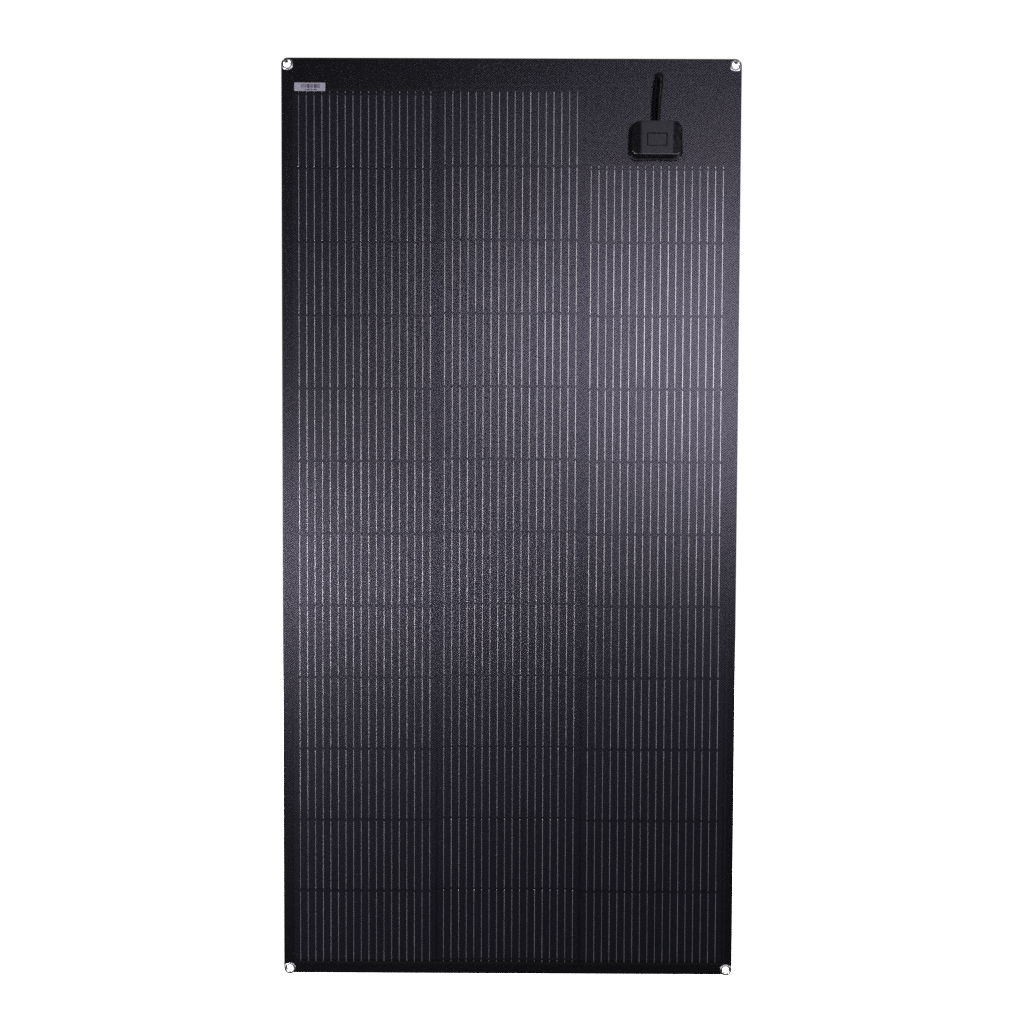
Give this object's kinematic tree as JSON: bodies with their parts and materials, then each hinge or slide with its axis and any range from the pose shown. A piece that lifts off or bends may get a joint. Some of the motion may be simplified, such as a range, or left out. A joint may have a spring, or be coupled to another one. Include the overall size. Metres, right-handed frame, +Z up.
{
  "type": "flexible solar sheet",
  "caption": "Thin flexible solar laminate with half-cut cells, corner eyelets, a front junction box and two leads that pass through a slot to plug connectors behind.",
  "frame": {"origin": "centre of the four eyelets, on the back face of the sheet", "axes": "+Z up the long side of the sheet, towards the junction box; +X to the right as one faces the cells; +Y out of the back of the sheet"},
  "size_m": [0.668, 0.0567, 1.3485],
  "materials": {
    "film": "clear fluoropolymer film with an embossed diamond texture",
    "encapsulant": "clear",
    "back_sheet": "black, satin",
    "cell": "blue-black silicon",
    "wire": "tinned copper",
    "ribbon": "black-coated copper",
    "label": "printed polyester",
    "eyelet": "nickel plated",
    "box_plastic": "black, fine satin",
    "seal_rubber": "soft, black",
    "sealant": "glossy black silicone",
    "terminal": "tinned brass",
    "diode": "moulded epoxy",
    "lead_sheath": "black, smooth",
    "copper": "bare stranded copper",
    "connector_plastic": "black, moulded",
    "contact": "silver plated"
  },
  "bodies": {
    "sheet": {"back_sheet": "back_sheet", "bus_ribbons": "ribbon", "bypass_diodes": "diode", "cell_left_01": "cell", "cell_left_02": "cell", "cell_left_03": "cell", "cell_left_04": "cell", "cell_left_05": "cell", "cell_left_06": "cell", "cell_left_07": "cell", "cell_left_08": "cell", "cell_left_09": "cell", "cell_left_10": "cell", "cell_left_11": "cell", "cell_left_12": "cell", "cell_middle_01": "cell", "cell_middle_02": "cell", "cell_middle_03": "cell", "cell_middle_04": "cell", "cell_middle_05": "cell", "cell_middle_06": "cell", "cell_middle_07": "cell", "cell_middle_08": "cell", "cell_middle_09": "cell", "cell_middle_10": "cell", "cell_middle_11": "cell", "cell_middle_12": "cell", "cell_right_02": "cell", "cell_right_03": "cell", "cell_right_04": "cell", "cell_right_05": "cell", "cell_right_06": "cell", "cell_right_07": "cell", "cell_right_08": "cell", "cell_right_09": "cell", "cell_right_10": "cell", "cell_right_11": "cell", "cell_right_12": "cell", "eyelet_washers": "eyelet", "eyelets": "eyelet", "front_encapsulant": "encapsulant", "front_film": "film", "junction_box_base": "box_plastic", "lead_bush": "seal_rubber", "lead_conductors": "copper", "lead_negative": "lead_sheath", "lead_positive": "lead_sheath", "lid_seal": "seal_rubber", "negative_connector_housing": "connector_plastic", "negative_connector_nut": "connector_plastic", "negative_connector_socket": "contact", "positive_connector_housing": "connector_plastic", "positive_connector_nut": "connector_plastic", "positive_connector_pin": "contact", "rear_encapsulant": "encapsulant", "sealant": "sealant", "serial_label": "label", "string_wires": "wire", "terminal_plates": "terminal"},
    "box_lid": {"junction_box_lid": "box_plastic"}
  },
  "joints": [
    {"name": "lid_lift", "type": "slide", "parent": "sheet", "child": "box_lid", "axis": [0, -1, 0], "range_m": [0, 0.03]}
  ]
}
